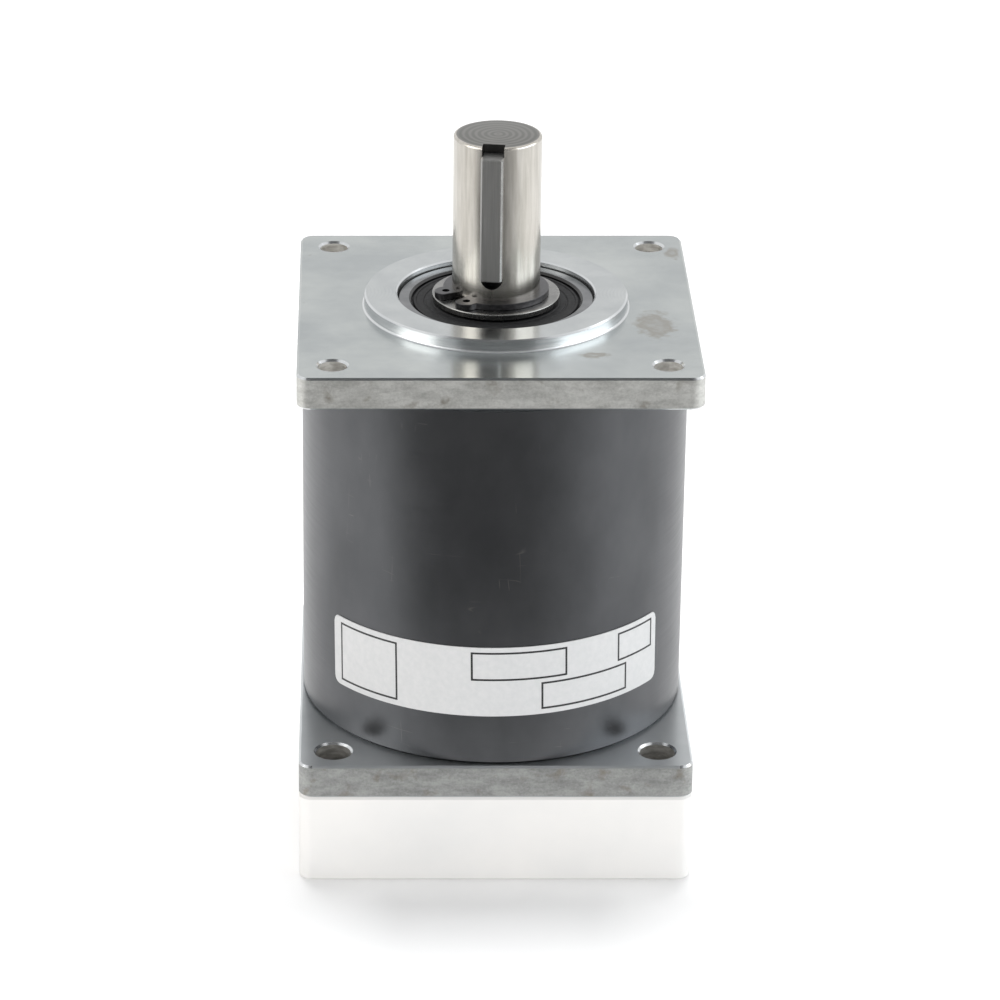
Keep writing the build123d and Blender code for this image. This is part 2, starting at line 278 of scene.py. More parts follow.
def turned_aluminium():
    """Lathe-turned aluminium: fine rings round the axis, which draw each reflection out into a fan."""
    material, tree, place = new_material("turned_aluminium")
    # The real rings are 0.05 mm apart, too fine to show, so they are drawn 0.2 mm apart.
    rings = lathe_rings(tree, place, 0.2, 0.6)
    cloud = grain(tree, place, 5, detail=4)
    mottle = add(tree, "ShaderNodeMix", {"Factor": 0.4, 2: cloud, 3: rings}, data_type="FLOAT").outputs[0]
    base = ramp(tree, mottle, ((0.25, "#a9adaf"), (0.75, "#c6c9c9")))
    close(tree, add(tree, "ShaderNodeBsdfPrincipled", {
        "Base Color": base, "Metallic": 1.0, "Roughness": between(tree, rings, 0.16, 0.26),
        "Normal": relief(tree, rings, 0.05, 0.01)}))
    return material


plate_half, corner_radius, corner_steps, edge_break = 28.575, 2.0, 10, 0.3


def square(half, radius):
    """A square outline whose corners are arcs of one radius: x = half - radius + radius cos a, and y the
    same with sin a."""
    a = np.pi / 2 * (np.arange(4)[:, None] + np.linspace(0, 1, corner_steps + 1))
    out = half - radius
    x = out * np.array([1, -1, -1, 1])[:, None] + radius * np.cos(a)
    y = out * np.array([1, 1, -1, -1])[:, None] + radius * np.sin(a)
    return np.stack([x.ravel(), y.ravel()], 1)


bolt_half, hole_points = 23.57, 48
corners_at = [(x * bolt_half, y * bolt_half) for x in (-1, 1) for y in (-1, 1)]


def plate(bottom, top, hole_radius, lower_loop, upper_loop, flank=1, face=0, drilled=3, highlit=4):
    """A square plate with broken edges, corner holes with broken rims, and a lid above and below that is
    open inside a loop. The last four are the material numbers of its sides, its faces, its holes' walls,
    and the rims and corner edges, which are painted brighter as a highlight."""
    inset = square(plate_half - edge_break, corner_radius - edge_break)
    full = square(plate_half, corner_radius)
    points, sides = skin([at_height(inset, bottom), at_height(full, bottom + edge_break),
                          at_height(full, top - edge_break), at_height(inset, top)])
    bands = sides.reshape(3, -1, 4)
    straight = np.arange(bands.shape[1]) % (corner_steps + 1) == corner_steps
    broken = bands[[0, 2]]
    patches = [((points, bands[1]), flank), ((points, broken[:, straight].reshape(-1, 4)), face),
               ((points, broken[:, ~straight].reshape(-1, 4)), highlit)]
    rim = hole_radius + edge_break
    holes = []
    for at in corners_at:
        loops = [circle(r, hole_points, at) for r in (rim, hole_radius, hole_radius, rim)]
        heights = (bottom, bottom + edge_break, top - edge_break, top)
        rows = [at_height(loop, z) for loop, z in zip(loops, heights)]
        patches += [(skin(rows[:2]), highlit), (skin(rows[1:3]), drilled), (skin(rows[2:]), highlit)]
        holes.append(loops[0])
    patches.append((lid([inset, *holes, lower_loop], bottom), face))
    patches.append((lid([inset, *holes, upper_loop], top), face))
    return patches


housing_top, plate_face, pilot_face = 74.4, 79.2, 81.1
sleeve_bottom, bearing_bottom = 62.824, 64.324
pilot_radius, pilot_fillet, pilot_break, seat_break = 19.05, 0.3, 0.25, 0.22
seat_radius, shoulder_radius, spigot_radius, load_hole = 14.2975, 12.8975, 20.66, 2.05
# Each oil mark by its middle and its half widths. The depth keeps it off the plate's lower face.
stain_depth = 3.0
oil_marks = [((22.6, -8.3, plate_face), (6.5, 11.0, stain_depth)),
             ((13.4, -19.9, plate_face), (5.0, 2.2, stain_depth)),
             ((27.0, 20.6, plate_face), (2.4, 6.0, stain_depth))]
quarter = np.linspace(0, np.pi / 2, 7)
foot = [(pilot_radius + pilot_fillet * (1 - np.sin(a)), plate_face + pilot_fillet * (1 - np.cos(a)))
        for a in quarter]
wall = foot + [(pilot_radius, pilot_face - pilot_break), (pilot_radius - pilot_break, pilot_face)]
seat_edge = [(seat_radius + seat_break, pilot_face), (seat_radius, pilot_face - seat_break)]
seat = [seat_edge[1], (seat_radius, bearing_bottom), (shoulder_radius, bearing_bottom),
        (shoulder_radius, sleeve_bottom), (spigot_radius, sleeve_bottom), (spigot_radius, housing_top)]
patches = plate(housing_top, plate_face, load_hole, circle(spigot_radius),
                circle(pilot_radius + pilot_fillet))
# The pilot's foot, wall and top edge, and the seat's edge, are painted in the brighter aluminium as a
# highlight.
patches += [(turned(wall), 4), (turned([wall[-1], seat_edge[0]]), 2), (turned(seat_edge), 4),
            (turned(seat), 2)]
milled = milled_aluminium("milled_aluminium_with_oil_marks", oil_marks)
sawn, lathe = sawn_aluminium("sawn_aluminium_edge", "#adada9", "#d6d6d2"), turned_aluminium()
drilled, highlit = drilled_aluminium("drilled_aluminium", "#c2bfb9", "#f4f3f0"), highlight_aluminium()
solid("output_plate", patches, [milled, sawn, lathe, drilled, highlit], "housing", ["output_flange"])

# The ring gear housing: a steel tube, turned outside, broached inside with the ring gear's
# teeth, and blackened by a hot oxide bath, which leaves a dark grey, slightly oily skin.


def black_oxide_steel():
    """Oxide-blackened steel: dark grey, with fine turning marks, handling scratches and paler rubs."""
    material, tree, place = new_material("black_oxide_steel")
    lines = grain(tree, place, 0.25, stretch=(40, 40, 1), detail=2)
    cloud = grain(tree, place, 14, stretch=(1, 1, 1.6), detail=4)
    marks = ramp(tree, grain(tree, place, 0.45, detail=6, rough=0.7), ((0.72, 0.0), (0.76, 0.7)))
    for size, stretch in ((2.5, (1, 1, 14)), (2.5, (10, 10, 1))):
        # The middle value of a drawn-out noise is a set of hairlines, and a second noise keeps few of them.
        hairline = ramp(tree, grain(tree, place, size, stretch=stretch, detail=0),
                        ((0.493, 0.0), (0.5, 1.0), (0.507, 0.0)))
        patch = ramp(tree, grain(tree, place, 2.2 * size, detail=2), ((0.62, 0.0), (0.70, 0.45)))
        hair = add(tree, "ShaderNodeMath", {0: hairline, 1: patch}, operation="MULTIPLY")
        marks = add(tree, "ShaderNodeMath", {0: marks, 1: hair.outputs[0]}, operation="MAXIMUM").outputs[0]
    base = ramp(tree, cloud, ((0.30, "#505153"), (0.72, "#606163")))
    close(tree, add(tree, "ShaderNodeBsdfPrincipled", {
        "Base Color": blend(tree, marks, base, linear("#8e8c88")), "Metallic": 1.0,
        "Roughness": between(tree, lines, 0.28, 0.40), "Normal": relief(tree, lines, 0.10, 0.01)}))
    return material


def gear_steel():
    """Hobbed alloy steel under a film of grease: mid grey, with marks along the teeth."""
    material, tree, place = new_material("hobbed_gear_steel")
    marks = grain(tree, place, 0.3, stretch=(1, 1, 8), detail=3)
    film = grain(tree, place, 4, detail=4)
    base = ramp(tree, film, ((0.35, "#86878a"), (0.70, "#a2a2a3")))
    close(tree, add(tree, "ShaderNodeBsdfPrincipled", {
        "Base Color": base, "Metallic": 1.0, "Roughness": between(tree, marks, 0.22, 0.42),
        "Normal": relief(tree, marks, 0.15, 0.02)}))
    return material


def ring_teeth(count, module, pressure, inner, outer, backlash, steps=7):
    """The outline inside a ring gear of z teeth. A space between two of them is shaped like a gear's tooth:
    at radius r its half angle is pi / 2z + inv p - inv q + backlash / r, where p is the pressure angle,
    cos q is base / r and inv x is tan x - x."""
    base = module * count / 2 * np.cos(pressure)
    r = np.linspace(inner, outer, steps)
    local = np.arccos(np.minimum(base / np.maximum(r, base), 1))
    half = np.pi / (2 * count) + np.tan(pressure) - pressure - np.tan(local) + local + backlash / r
    middle = 2 * np.pi * np.arange(count)[:, None] / count
    angle = np.concatenate([middle - half, middle + half[::-1]], 1).ravel()
    reach = np.tile(np.concatenate([r, r[::-1]]), count)
    return np.stack([reach * np.cos(angle), reach * np.sin(angle)], 1)


housing_bottom, tube_radius, tube_break, tube_points = 18.6, 28.1, 0.5, 256
tube = [(tube_radius - tube_break, housing_bottom), (tube_radius, housing_bottom + tube_break),
        (tube_radius, housing_top - tube_break), (tube_radius - tube_break, housing_top)]
teeth = ring_teeth(count=48, module=0.9, pressure=radians(25), inner=20.7, outer=22.725, backlash=0.03)
patches = [(turned(tube, tube_points), 0),
           (skin([at_height(teeth, housing_bottom), at_height(teeth, housing_top)]), 1)]
for z in (housing_bottom, housing_top):
    patches.append((lid([circle(tube_radius - tube_break, tube_points), teeth], z), 0))
oxide, gear = black_oxide_steel(), gear_steel()
solid("ring_gear_tube", patches, [oxide, gear], "housing", ["ring_gear_housing"])

# The input plate: the same aluminium plate as above, with larger corner holes for the
# motor's screws, and a short spigot that centres the tube.

plate_bottom, spigot_top, pinion_bore, motor_hole = 13.5, 22.1, 7.3, 2.55
inside = [(spigot_radius, housing_bottom), (spigot_radius, spigot_top), (pinion_bore, spigot_top),
          (pinion_bore, plate_bottom)]
patches = plate(plate_bottom, housing_bottom, motor_hole, circle(pinion_bore), circle(spigot_radius))
patches.append((turned(inside), 2))
clean = milled_aluminium("dull_milled_aluminium", [], "#bec2c4", "#ced1d3", 0.30, 0.40)
dull = sawn_aluminium("dull_sawn_aluminium_edge", "#868785", "#abacaa")
bored = drilled_aluminium("oily_drilled_aluminium", "#a5a39e", "#d9d7d3")
solid("input_plate", patches, [clean, dull, lathe, bored, highlit], "housing", ["input_flange"])

# The motor adapter: a pale block, white all over, with a recess for the motor's pilot
# and a bore that leaves room for the pinion's collar. The motor's screws clamp it.


def white_enamel():
    """Satin white stoved enamel over a machined block: faint unevenness, slightly warm."""
    material, tree, place = new_material("white_stoved_enamel")
    peel = grain(tree, place, 0.9, detail=3)
    cloud = grain(tree, place, 16, detail=3)
    base = ramp(tree, cloud, ((0.30, "#eeedeb"), (0.70, "#f5f3f0")))
    close(tree, add(tree, "ShaderNodeBsdfPrincipled", {
        "Base Color": base, "Roughness": 0.42, "Normal": relief(tree, peel, 0.08, 0.03)}))
    return material


block_bore, recess_radius, recess_depth = 11.0, 19.08, 2.0
inside = [(recess_radius, 0), (recess_radius, recess_depth), (block_bore, recess_depth),
          (block_bore, plate_bottom)]
patches = plate(0, plate_bottom, motor_hole, circle(recess_radius), circle(block_bore), 0, 0, 0, 0)
patches.append((turned(inside), 0))
solid("adapter_block", patches, [white_enamel()], "housing", ["motor_adapter"])

# The output bearing: two ground steel rings with a rubber seal between them, pressed
# into the pilot from above. Its upper face stands 0.9 mm below the pilot's.


def ground_bearing_steel():
    """Ground and polished bearing steel: smooth, with a slightly uneven sheen."""
    material, tree, place = new_material("ground_bearing_steel")
    cloud = grain(tree, place, 2.5, detail=4)
    base = ramp(tree, cloud, ((0.35, "#696b6d"), (0.70, "#7f8082")))
    close(tree, add(tree, "ShaderNodeBsdfPrincipled", {
        "Base Color": base, "Metallic": 1.0, "Roughness": between(tree, cloud, 0.14, 0.24)}))
    return material


def painted_gap_shade():
    """Painted shade for the gaps beside the outer race's upper edges: near black and glossy."""
    material, tree, place = new_material("painted_gap_shade")
    base = ramp(tree, grain(tree, place, 0.3, detail=3), ((0.4, "#0e0e0f"), (0.7, "#1d1c1b")))
    close(tree, add(tree, "ShaderNodeBsdfPrincipled", {"Base Color": base, "Roughness": 0.35}))
    return material


def moulded_rubber():
    """Moulded nitrile rubber: matt black with a little dust."""
    material, tree, place = new_material("moulded_nitrile_rubber")
    dust = grain(tree, place, 0.6, detail=5)
    base = ramp(tree, dust, ((0.45, "#161617"), (0.75, "#272829")))
    close(tree, add(tree, "ShaderNodeBsdfPrincipled", {"Base Color": base, "Roughness": 0.72}))
    return material


def ring_profile(outer, inner, bottom, top, edge):
    """A turned ring with four broken edges, as one closed profile of radius and height."""
    return [(inner + edge, bottom), (outer - edge, bottom), (outer, bottom + edge), (outer, top - edge),
            (outer - edge, top), (inner + edge, top), (inner, top - edge), (inner, bottom + edge),
            (inner + edge, bottom)]


bearing_top, seal_foot, seal_face, seal_outer, seal_inner = 80.2, 79.05, 79.70, 12.2775, 8.4
race = ground_bearing_steel()
outer_race = ring_profile(outer=14.2875, inner=12.2875, bottom=bearing_bottom, top=bearing_top, edge=0.30)
inner_race = ring_profile(outer=8.36, inner=6.36, bottom=bearing_bottom, top=bearing_top, edge=0.2)
# The outer race's upper corners, from point 3 to 4 and from 5 to 6 of its profile, are painted near black
# as the shade in the gaps beside them.
patches = [(turned(outer_race[first:last + 1]), number)
           for first, last, number in ((0, 3, 0), (3, 4, 1), (4, 5, 0), (5, 6, 1), (6, 8, 0))]
solid("bearing_outer_race", patches, [race, painted_gap_shade()], "housing", ["bearing_outer_ring"])
solid("bearing_inner_race", [(turned(inner_race), 0)], [race], "output", ["bearing_inner_ring"])
# The seal from its outer foot inwards: a bead, a flat with a groove in it, and the lip at the shaft.
lip = [(seal_outer, seal_foot), (seal_outer, 79.35), (12.0, 79.35), (11.9, 79.82), (11.6, 79.82),
       (11.5, seal_face), (10.5, seal_face), (10.4, 79.60), (10.2, 79.60), (10.1, seal_face),
       (9.3, seal_face), (9.1, 79.85), (8.6, 79.8), (seal_inner, 79.6), (seal_inner, seal_foot),
       (seal_outer, seal_foot)]
solid("bearing_lip_seal", [(turned(lip), 0)], [moulded_rubber()], "housing", ["bearing_seal"])

# The output shaft: steel, ground to size, with a round-ended keyway milled in its side and the
# last carrier with its four planet pins below. It runs in the bearing and carries the load.


def ground_shaft_steel():
    """Ground shaft steel: bright and smooth, slightly warm, with fine rings and rubbed streaks."""
    material, tree, place = new_material("ground_shaft_steel")
    rings = grain(tree, place, 0.16, stretch=(40, 40, 1), detail=2)
    streak = grain(tree, place, 0.7, stretch=(1, 1, 12), detail=4)
    base = ramp(tree, streak, ((0.32, "#b4b0a8"), (0.70, "#cdc9c2")))
    close(tree, add(tree, "ShaderNodeBsdfPrincipled", {
        "Base Color": base, "Metallic": 1.0, "Roughness": between(tree, rings, 0.17, 0.27),
        "Normal": relief(tree, rings, 0.12, 0.01)}))
    return material


def faced_steel(name, dark, pale):
    """Faced steel, as the shaft's end and the carriers are cut: dull grey, with rings from the tool."""
    material, tree, place = new_material(name)
    # The real rings are 0.1 mm apart, too fine to show, so they are drawn 0.9 mm apart.
    rings = lathe_rings(tree, place, 0.9, 1.0)
    cloud = grain(tree, place, 2.0, detail=4)
    marks = add(tree, "ShaderNodeMix", {"Factor": 0.5, 2: rings, 3: cloud}, data_type="FLOAT").outputs[0]
    base = ramp(tree, marks, ((0.30, dark), (0.70, pale)))
    close(tree, add(tree, "ShaderNodeBsdfPrincipled", {
        "Base Color": base, "Metallic": 1.0, "Roughness": between(tree, marks, 0.30, 0.45)}))
    return material


shaft_radius, shaft_end, end_break = 6.35, 105.2, 0.4
key_half, key_foot, keyway_floor, key_turn = 1.5875, 85.4, 4.55, radians(-98)
groove_bottom, groove_top, groove_radius = 81.1, 82.05, 5.95
round_points, slot_points, least_rise = 180, 12, 1e-4


def about_axis(outline, angle):
    """A flat outline turned about the axis: x cos a - y sin a, x sin a + y cos a."""
    c, s = np.cos(angle), np.sin(angle)
    return outline @ np.array([[c, s], [-s, c]])


def keyed_row(radius, z):
    """One height of the shaft: its circle, and the slot's floor as a straight line across. Above the key's
    foot the slot's half width is h, and at a depth d below it, in the slot's round end, sqrt(h h - d d)."""
    half = np.sqrt(max(key_half ** 2 - max(key_foot - z, 0) ** 2, 0))
    edge = np.arcsin(half / radius)
    a = np.linspace(edge, 2 * np.pi - edge, round_points)
    around = np.stack([radius * np.cos(a), radius * np.sin(a)], 1)
    floor = np.full(slot_points, keyway_floor if half > 0 else radius)
    across = np.stack([floor, np.linspace(-half, half, slot_points)], 1)
    return at_height(about_axis(np.concatenate([around, across]), key_turn), z)


# At its lowest point the slot has no width yet, so its round end starts a hair higher.
foot_rise = [key_foot - key_half * np.cos(a) for a in np.linspace(0, np.pi / 2, 13)]
foot_rise[0] += least_rise
rows = [keyed_row(shaft_radius, z) for z in (bearing_bottom, groove_bottom)]
rows += [keyed_row(groove_radius, z) for z in (groove_bottom, groove_top)]
first_keyed = len(rows)
rows += [keyed_row(shaft_radius, z) for z in (groove_top, *foot_rise, shaft_end - end_break)]
rows += [keyed_row(shaft_radius - end_break * (1 - np.cos(a)), shaft_end - end_break * (1 - np.sin(a)))
         for a in quarter[1:]]
points, sides = skin(rows)
band, column = np.divmod(np.arange(len(sides)), round_points + slot_points)
in_slot = (band >= first_keyed) & (column >= round_points - 1)


def round_cornered(centres, radius, count=24):
    """A convex outline round some centres: an arc of one radius about each, joined by straight sides."""
    share = np.pi / len(centres)
    arcs = []
    for x, y in centres:
        a = np.arctan2(y, x) + np.linspace(-share, share, count)
        arcs.append(np.stack([x + radius * np.cos(a), y + radius * np.sin(a)], 1))
    return np.concatenate(arcs)


carrier_bottom, carrier_top, carrier_rim, neck_radius = 57.024, 62.424, 2.6, 8.0
pin_circle, pin_radius, pin_bottom, pin_points = 14.4, 2.5, 45.1294, 48
pin_centres = [(pin_circle * np.cos(a), pin_circle * np.sin(a)) for a in np.arange(4) * np.pi / 2]
pins = [circle(pin_radius, pin_points, at) for at in pin_centres]
web, neck = round_cornered(pin_centres, pin_radius + carrier_rim), circle(neck_radius)
patches = [((points, sides[~in_slot]), 0), ((points, sides[in_slot]), 2),
           (lid([rows[-1][:, :2]], shaft_end), 1), (lid([neck, rows[0][:, :2]], bearing_bottom), 0),
           (skin([at_height(neck, carrier_top), at_height(neck, bearing_bottom)]), 0),
           (lid([web, neck], carrier_top), 1),
           (skin([at_height(web, carrier_bottom), at_height(web, carrier_top)]), 1),
           (lid([web, *pins], carrier_bottom), 1)]
for pin in pins:
    patches.append((skin([at_height(pin, pin_bottom), at_height(pin, carrier_bottom)]), 0))
    patches.append((lid([pin], pin_bottom), 0))
ground, cut_steel = ground_shaft_steel(), faced_steel("faced_shaft_steel", "#6a6a67", "#858481")
# The keyway's walls and floor are painted in darker greys, as the shade that falls in the slot above and
# below the key.
slot_shade_steel = faced_steel("keyway_steel_painted_shade", "#3a3a39", "#52514f")
solid("keyed_shaft", patches, [ground, cut_steel, slot_shade_steel], "output", ["output_shaft"])

# The key: a length of square steel bar, cut off square and pressed into the keyway.
# It stands 1.4 mm out of the shaft.


def drawn_key_steel():
    """Cold-drawn key steel: mid grey, dull, with lines along the bar."""
    material, tree, place = new_material("drawn_key_steel")
    lines = grain(tree, place, 0.25, stretch=(1, 1, 30), detail=3)
    base = ramp(tree, lines, ((0.25, "#979795"), (0.75, "#a8a7a5")))
    close(tree, add(tree, "ShaderNodeBsdfPrincipled", {
        "Base Color": base, "Metallic": 1.0, "Roughness": between(tree, lines, 0.36, 0.5)}))
    return material


def plain_steel(name, dark, pale):
    """Steel without tool marks: an oily skin or a rubbed edge, by its two greys, with an uneven sheen."""
    material, tree, place = new_material(name)
    cloud = grain(tree, place, 1.6, detail=4)
    base = ramp(tree, cloud, ((0.35, dark), (0.70, pale)))
    close(tree, add(tree, "ShaderNodeBsdfPrincipled", {
        "Base Color": base, "Metallic": 1.0, "Roughness": between(tree, cloud, 0.20, 0.34)}))
    return material


key_top, key_edge, key_end, key_play = 103.9, 0.25, 0.15, 0.004


def key_loop(inset, z):
    """The key's cross-section at one height: a rectangle whose two outer corners are broken."""
    out, half = keyway_floor + 2 * key_half - inset, key_half - inset
    loop = np.array([(keyway_floor, -half), (out - key_edge, -half), (out, -half + key_edge),
                     (out, half - key_edge), (out - key_edge, half), (keyway_floor, half)])
    return at_height(about_axis(loop, key_turn), z)


rows = [key_loop(key_end, key_foot), key_loop(key_play, key_foot + key_end),
        key_loop(key_play, key_top - key_end), key_loop(key_end, key_top)]
points, sides = skin(rows)
# The broken edge from point 3 to 4 of each loop is the one that is rubbed bright.
rubbed_here = np.arange(len(sides)) % len(rows[0]) == 3
patches = [((points, sides[~rubbed_here]), 0), ((points, sides[rubbed_here]), 1),
           (lid([rows[0][:, :2]], key_foot), 0), (lid([rows[-1][:, :2]], key_top), 0)]
rubbed = plain_steel("rubbed_steel", "#8f8f8d", "#a1a19f")
solid("square_key", patches, [drawn_key_steel(), rubbed], "output", ["output_key"])

# The support washer, a flat steel ring between the bearing and the retaining ring.
# Its upper edge is rolled, so its rim catches the light; the rim's paler grey is partly rubbed metal and
# partly a painted highlight.

washer_outer, washer_inner, washer_roll, washer_break = 9.25, 6.37, 0.16, 0.1
bend = [(washer_outer - washer_roll * (1 - np.sin(a)), groove_bottom - washer_roll * (1 - np.cos(a)))
        for a in quarter]
face = [bend[-1], (washer_outer, bearing_top + washer_break), (washer_outer - washer_break, bearing_top),
        (washer_inner, bearing_top), (washer_inner, groove_bottom), bend[0]]
oily = plain_steel("oily_washer_steel", "#7a7a79", "#92918f")
# The rolled rim takes the paler rubbed steel, partly as wear and partly as a painted highlight.
solid("support_washer", [(turned(bend), 1), (turned(face), 0)], [oily, rubbed], "output", ["shaft_washer"])

# The retaining ring: spring steel, stamped and hardened, snapped into the shaft's groove.
# Its two eyes take the pliers.


def hardened_spring_steel():
    """Oil-hardened spring steel: a dark grey scale with an uneven sheen."""
    material, tree, place = new_material("hardened_spring_steel")
    scale = grain(tree, place, 0.5, detail=5)
    base = ramp(tree, scale, ((0.32, "#48484a"), (0.70, "#5e5e60")))
    close(tree, add(tree, "ShaderNodeBsdfPrincipled", {
        "Base Color": base, "Metallic": 1.0, "Roughness": between(tree, scale, 0.26, 0.42)}))
    return material


clip_inner, clip_outer, gap_half, clip_turn, clip_points = 5.96, 7.66, 1.0, radians(-145.5), 240
clip_play, clip_inset, clip_break = 0.005, 0.09, 0.08
eye_centre, eye_radius, eye_hole, eye_points = 7.55, 1.6, 0.55, 32
eye_swing = 2.6 / eye_centre


def clip_outline(inset):
    """The ring's outline. Its outer radius is the body's, or the far side of an eye where that is further:
    R cos d + sqrt(e e - (R sin d) squared), at an angle d from the eye's centre."""
    edge = np.arcsin(gap_half / clip_inner)
    a = np.linspace(edge + inset / clip_inner, 2 * np.pi - edge - inset / clip_inner, clip_points)
    off = np.minimum(np.abs(a - eye_swing), np.abs(a - 2 * np.pi + eye_swing))
    inside = np.clip((eye_radius - inset) ** 2 - (eye_centre * np.sin(off)) ** 2, 0, None)
    far = np.where(inside > 0, eye_centre * np.cos(off) + np.sqrt(inside), 0)
    reach = np.maximum(far, clip_outer - inset)
    back, inner = a[::-1], clip_inner + inset
    return np.stack([np.append(reach * np.cos(a), inner * np.cos(back)),
                     np.append(reach * np.sin(a), inner * np.sin(back))], 1)


full, small = (about_axis(clip_outline(inset), clip_turn) for inset in (clip_play, clip_inset))
eyes = [circle(eye_hole, eye_points, (eye_centre * np.cos(a), eye_centre * np.sin(a)))
        for a in (-eye_swing, eye_swing)]
eyes = [about_axis(eye, clip_turn) for eye in eyes]
rows = [at_height(small, groove_bottom), at_height(full, groove_bottom + clip_break),
        at_height(full, groove_top - clip_break), at_height(small, groove_top)]
patches = [(skin(rows), 0), (lid([small, *eyes], groove_bottom), 0), (lid([small, *eyes], groove_top), 0)]
patches += [(skin([at_height(eye, groove_bottom), at_height(eye, groove_top)]), 0) for eye in eyes]
spring = hardened_spring_steel()
solid("retaining_ring", patches, [spring], "output", ["shaft_circlip"])

# The rating label: a film laid round the front of the tube, very slightly askew.
# It is printed with four empty outlined fields.


def label_film():
    """Satin film: pale grey, with a soft even sheen."""
    material, tree, place = new_material("satin_label_film")
    fibre = grain(tree, place, 0.8, detail=4)
    base = ramp(tree, fibre, ((0.35, "#cecfcf"), (0.70, "#d5d5d5")))
    close(tree, add(tree, "ShaderNodeBsdfPrincipled", {"Base Color": base, "Roughness": 0.38}))
    return material


def printed_ink():
    """Thermal-transfer ink: black, with a slightly uneven cover."""
    material, tree, place = new_material("black_label_ink")
    cover = grain(tree, place, 0.15, detail=3)
    base = ramp(tree, cover, ((0.40, "#1b1b1c"), (0.75, "#3a3a3b")))
    close(tree, add(tree, "ShaderNodeBsdfPrincipled", {"Base Color": base, "Roughness": 0.45}))
    return material


label_inner, label_outer, label_middle = 28.12, 28.24, 32.0
label_half, label_tall, label_round = 27.5, 10.9, 1.2
label_tilt, label_climb = radians(1.0), 0.55
label_end_points, label_points, label_rows = 9, 121, 5


def wrapped(across, up, radius):
    """Points of the flat label laid on the tube. Across is an arc length from the front's middle. With a
    tilt t, x is across cos t - up sin t, z is middle + up cos t + climb across sin t, and the angle from
    the front is x / radius."""
    x = across * np.cos(label_tilt) - up * np.sin(label_tilt)
    z = label_middle + up * np.cos(label_tilt) + across * label_climb * np.sin(label_tilt)
    a = x / radius - np.pi / 2
    return np.stack([radius * np.cos(a), radius * np.sin(a), z], -1)


def label_grid(radius):
    """The label's face in rows. At a distance d into a round corner of radius r its half height is
    h - r + sqrt(r r - d d)."""
    start = label_half - label_round
    s = np.concatenate([np.linspace(-label_half, -start, label_end_points),
                        np.linspace(-start, start, label_points)[1:-1],
                        np.linspace(start, label_half, label_end_points)])
    d = np.clip(np.abs(s) - start, 0, None)
    half = label_tall / 2 - label_round + np.sqrt(label_round ** 2 - d ** 2)
    return [wrapped(s, share * half, radius) for share in np.linspace(-1, 1, label_rows)]


front, back = label_grid(label_outer), label_grid(label_inner)
edge_rows = [np.concatenate([rows[0], rows[-1][::-1]]) for rows in (back, front)]
patches = [(skin(front, around=False), 0), (skin(back, around=False), 0), (skin(edge_rows), 0)]
solid("label_film_face", patches, [label_film()], "housing", ["rating_label"])

ink_line, ink_thick, ink_points = 0.30, 0.01, 40
degree = np.pi * label_outer / 180


def field(left, right, low, high):
    """An empty field: four strips of ink that stand a hair above the label's face."""
    strips = ((left, right, low, low + ink_line), (left, right, high - ink_line, high),
              (left, left + ink_line, low, high), (right - ink_line, right, low, high))
    raised, patches = label_outer + ink_thick, []
    for first, last, foot, head in strips:
        s = np.linspace(first, last, ink_points)
        section = ((foot, label_outer), (head, label_outer), (head, raised), (foot, raised),
                   (foot, label_outer))
        patches.append((skin([wrapped(s, up, radius) for up, radius in section], around=False), 0))
    return patches


# Each field by its first and last angle from the front in degrees, and its lower and upper height.
patches = []
for first, last, low, high in ((-52.5, -30.5, -4.6, 4.6), (-7.7, 21, 0.2, 4.7), (38.5, 53.5, 0.2, 4.7),
                               (13, 42, -4.7, -0.4)):
    patches += field(first * degree, last * degree, low, high)
solid("label_empty_fields", patches, [printed_ink()], "housing", [])

# The gears and carriers inside, and the pinion and its set screw on the motor's side.
# They are as the solids have them: hobbed gears, turned and milled carriers, a black screw.


def give(node, material):
    """Puts one material on a solid that keeps its own shape."""
    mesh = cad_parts[node].data
    mesh.materials.clear()
    mesh.materials.append(material)


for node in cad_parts:
    if "planet" in node or "sun" in node or node == "input_pinion":
        give(node, gear)
    elif "carrier" in node:
        give(node, cut_steel)
give("set_screw", spring)

# The studio: a white floor and surround, and four soft lamps, one above, one at each side and a low
# one behind the camera. Three grey cards that only the metal mirrors stand for a darker room
# in front. The camera stands where the photograph's did.


def seen_rays(tree):
    """One for what the camera sees, straight, mirrored or through something, and zero for spread light."""
    rays = add(tree, "ShaderNodeLightPath").outputs
    seen = rays["Is Transmission Ray"]
    for kind in ("Is Glossy Ray", "Is Camera Ray"):
        seen = add(tree, "ShaderNodeMath", {0: rays[kind], 1: seen}, operation="MAXIMUM").outputs[0]
    return seen


def span(tree, value, start, end):
    """A factor that goes from 0 to 1 as a value goes from start to end."""
    return add(tree, "ShaderNodeMapRange", {"Value": value, "From Min": start, "From Max": end}).outputs[0]


def studio_floor():
    """A matt white sweep that keeps the block's soft shadow. From 0.35 to 0.60 m from the axis it fades to
    the surround's white, for what the camera and the metal see of it."""
    material, tree, place = new_material("matt_white_sweep")
    dust = ramp(tree, grain(tree, place, 40, detail=2), ((0.3, "#fbfbfb"), (0.7, "#ffffff")))
    matt = add(tree, "ShaderNodeBsdfPrincipled", {"Base Color": dust, "Roughness": 0.9})
    white = add(tree, "ShaderNodeEmission", {"Color": (1, 1, 1, 1), "Strength": 1.0})
    reach = add(tree, "ShaderNodeVectorMath", {0: place}, operation="LENGTH").outputs["Value"]
    beyond = span(tree, reach, 0.35, 0.60)
    share = add(tree, "ShaderNodeMath", {0: beyond, 1: seen_rays(tree)}, operation="MULTIPLY").outputs[0]
    close(tree, add(tree, "ShaderNodeMixShader", {0: share, 1: matt.outputs[0], 2: white.outputs[0]}))
    return material


